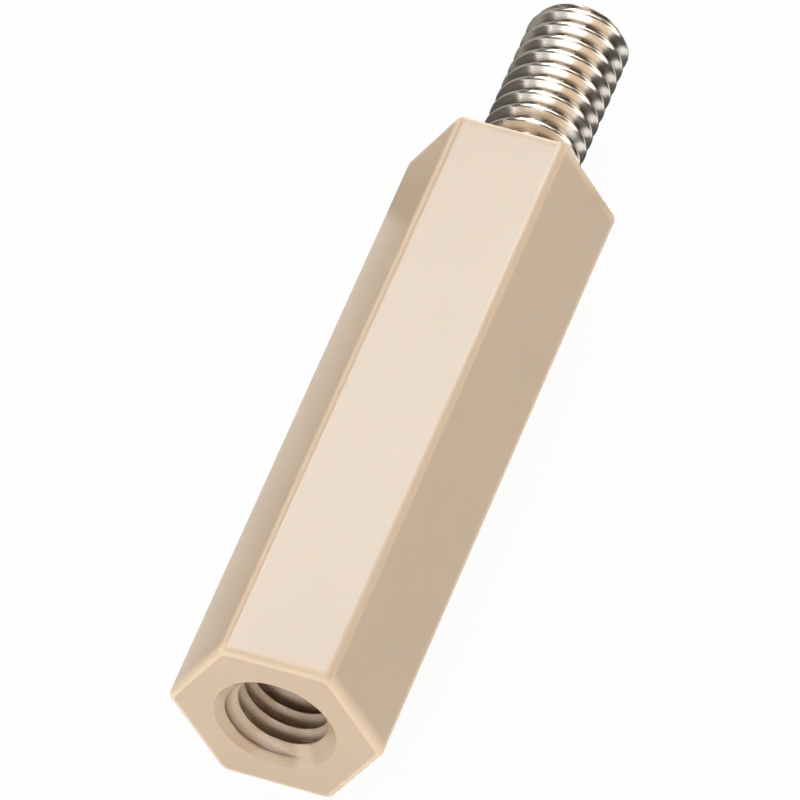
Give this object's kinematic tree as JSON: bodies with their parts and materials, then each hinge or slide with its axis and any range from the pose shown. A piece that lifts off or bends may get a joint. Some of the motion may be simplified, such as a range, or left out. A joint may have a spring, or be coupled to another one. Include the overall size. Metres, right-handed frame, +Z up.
{
  "type": "hex standoff",
  "caption": "Hexagonal plastic standoff with a metal threaded stud moulded into one end and a blind threaded hole with a lead-in cone in the other, for spacing a board off a panel.",
  "frame": {"origin": "centre of the shoulder, the end face that the stud comes out of, on the axis of the stud", "axes": "+X along the axis towards the tip of the stud, +Z up, with the pillar lying on one flat"},
  "size_m": [0.034, 0.008, 0.007],
  "materials": {
    "beige_plastic": "moulded, satin, fine grain",
    "nickel_plate": "bright nickel plating"
  },
  "bodies": {
    "root": {"hex_body": "beige_plastic", "threaded_stud": "nickel_plate"}
  },
  "joints": []
}
